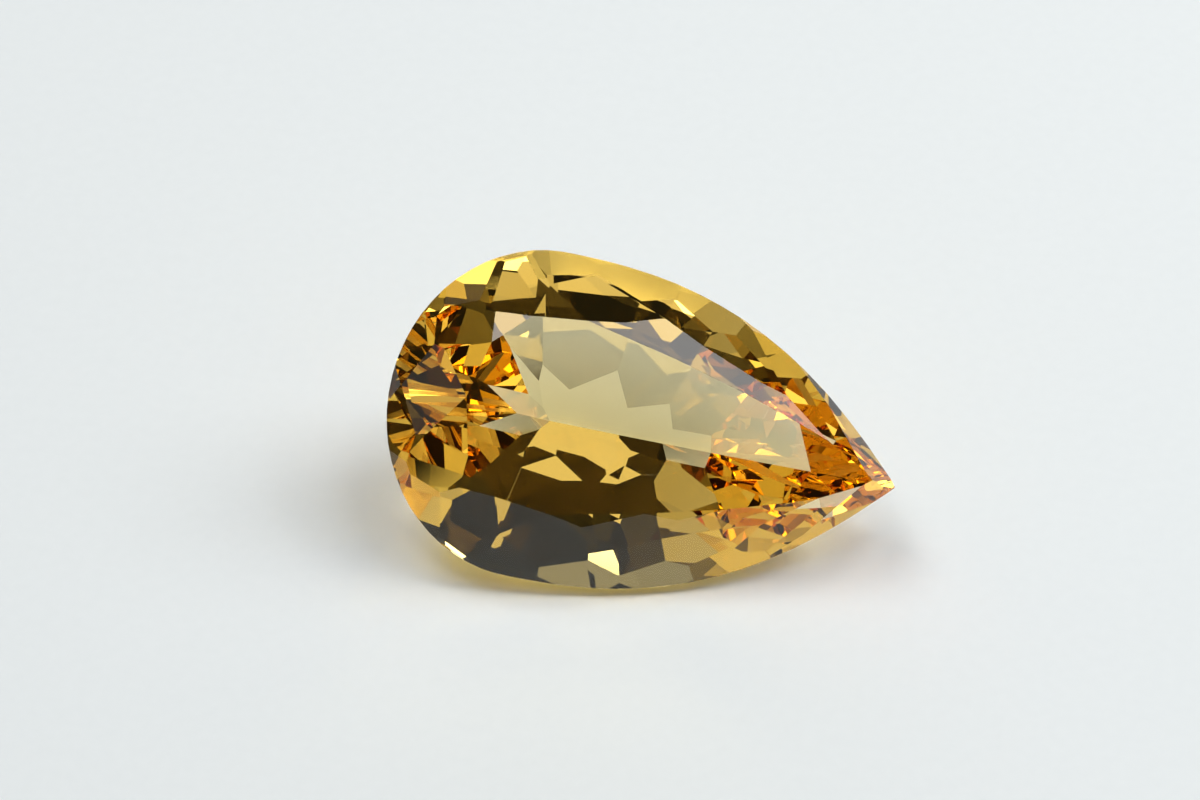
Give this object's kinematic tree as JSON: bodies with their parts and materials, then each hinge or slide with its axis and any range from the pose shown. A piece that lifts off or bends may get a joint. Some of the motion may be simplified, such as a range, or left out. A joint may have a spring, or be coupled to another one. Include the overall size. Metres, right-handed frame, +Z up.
{
  "type": "pear cut citrine gemstone",
  "caption": "Loose pear cut citrine: a clear golden faceted teardrop lying on one facet of its underside, with its table leaning to the front.",
  "frame": {"origin": "on the floor, below the middle of the stone's bounding box", "axes": "+Z up from the floor; +X along the stone's long axis as seen from above, from the round head to the tip; the table leans to -Y"},
  "size_m": [0.0248, 0.0122, 0.0117],
  "materials": {
    "citrine": "clear polished golden citrine, flat facets"
  },
  "bodies": {
    "root": {"pear_cut_stone": "citrine"}
  },
  "joints": []
}
